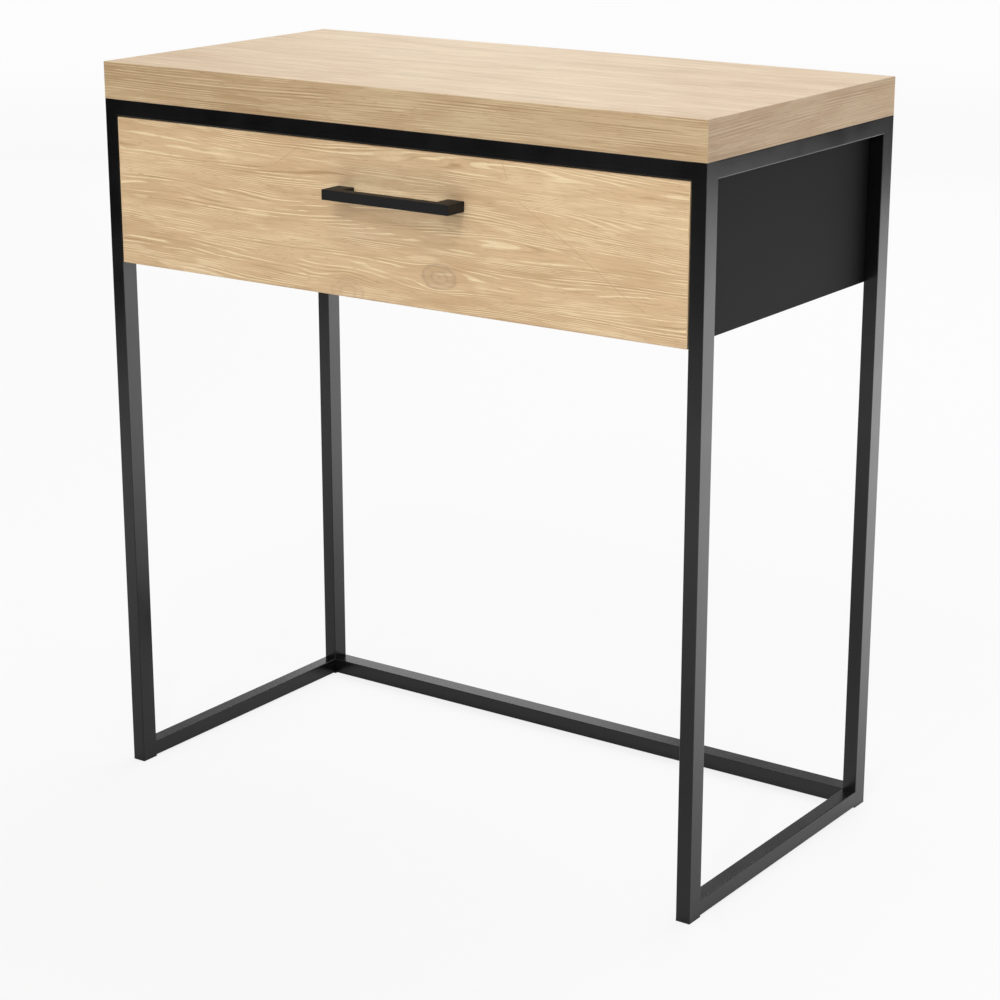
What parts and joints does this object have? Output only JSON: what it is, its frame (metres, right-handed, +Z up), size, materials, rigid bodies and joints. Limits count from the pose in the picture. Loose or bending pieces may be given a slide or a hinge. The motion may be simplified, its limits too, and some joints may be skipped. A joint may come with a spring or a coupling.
{
  "type": "side table with drawer",
  "caption": "Narrow side table with a thin black steel tube frame, a thick oak-look top and a full-width drawer with a black bar handle on telescopic slides.",
  "frame": {"origin": "on the floor, at the centre of the overall box in X and Y, handle included", "axes": "+Z up; the drawer front faces -Y and the drawer opens along -Y; +X is the right-hand side seen from the front"},
  "size_m": [0.7, 0.376, 0.75],
  "materials": {
    "oak_top": "matt light oak decor, straight grain along X",
    "oak_front": "matt warm oak decor, cathedral grain along X with a knot",
    "black_steel": "fine satin black powder coat",
    "black_board": "matt black melamine facing on chipboard",
    "drawer_board": "matt anthracite melamine facing on chipboard",
    "handle_black": "satin black lacquer on a solid bar",
    "black_plastic": "moulded matt black plastic",
    "zinc_steel": "bright zinc plate",
    "beech": "raw beech"
  },
  "bodies": {
    "table": {"base_rail_left": "black_steel", "base_rail_rear": "black_steel", "base_rail_right": "black_steel", "dowel_left_front": "beech", "dowel_left_rear": "beech", "dowel_right_front": "beech", "dowel_right_rear": "beech", "glide_front_left": "black_plastic", "glide_front_right": "black_plastic", "glide_rear_left": "black_plastic", "glide_rear_right": "black_plastic", "housing_back": "black_board", "housing_bottom": "black_board", "housing_side_left": "black_board", "housing_side_right": "black_board", "leg_front_left": "black_steel", "leg_front_right": "black_steel", "leg_rear_left": "black_steel", "leg_rear_right": "black_steel", "rear_bolt_left": "zinc_steel", "rear_bolt_right": "zinc_steel", "side_bolt_left_front": "zinc_steel", "side_bolt_left_rear": "zinc_steel", "side_bolt_right_front": "zinc_steel", "side_bolt_right_rear": "zinc_steel", "slide_outer_left": "zinc_steel", "slide_outer_right": "zinc_steel", "slide_screw_housing_left_front": "zinc_steel", "slide_screw_housing_left_rear": "zinc_steel", "slide_screw_housing_right_front": "zinc_steel", "slide_screw_housing_right_rear": "zinc_steel", "table_top": "oak_top", "top_rail_front": "black_steel", "top_rail_left": "black_steel", "top_rail_rear": "black_steel", "top_rail_right": "black_steel", "top_screw_front_left": "zinc_steel", "top_screw_front_right": "zinc_steel", "top_screw_rear_left": "zinc_steel", "top_screw_rear_right": "zinc_steel"},
    "slide_middles": {"slide_middle_left": "zinc_steel", "slide_middle_right": "zinc_steel"},
    "drawer": {"cam_fitting_left": "zinc_steel", "cam_fitting_right": "zinc_steel", "drawer_back": "drawer_board", "drawer_bottom": "drawer_board", "drawer_front": "oak_front", "drawer_side_left": "drawer_board", "drawer_side_right": "drawer_board", "handle": "handle_black", "handle_screw_left": "zinc_steel", "handle_screw_right": "zinc_steel", "slide_inner_left": "zinc_steel", "slide_inner_right": "zinc_steel", "slide_screw_drawer_left_front": "zinc_steel", "slide_screw_drawer_left_rear": "zinc_steel", "slide_screw_drawer_right_front": "zinc_steel", "slide_screw_drawer_right_rear": "zinc_steel"}
  },
  "joints": [
    {"name": "drawer_slide", "type": "slide", "parent": "table", "child": "drawer", "axis": [0, -1, 0], "range_m": [0, 0.25]},
    {"name": "middle_member_slide", "type": "slide", "parent": "table", "child": "slide_middles", "axis": [0, -1, 0], "range_m": [0, 0.125]}
  ],
  "couplings": [
    {"joint": "middle_member_slide", "follows": "drawer_slide", "ratio": 0.5}
  ]
}
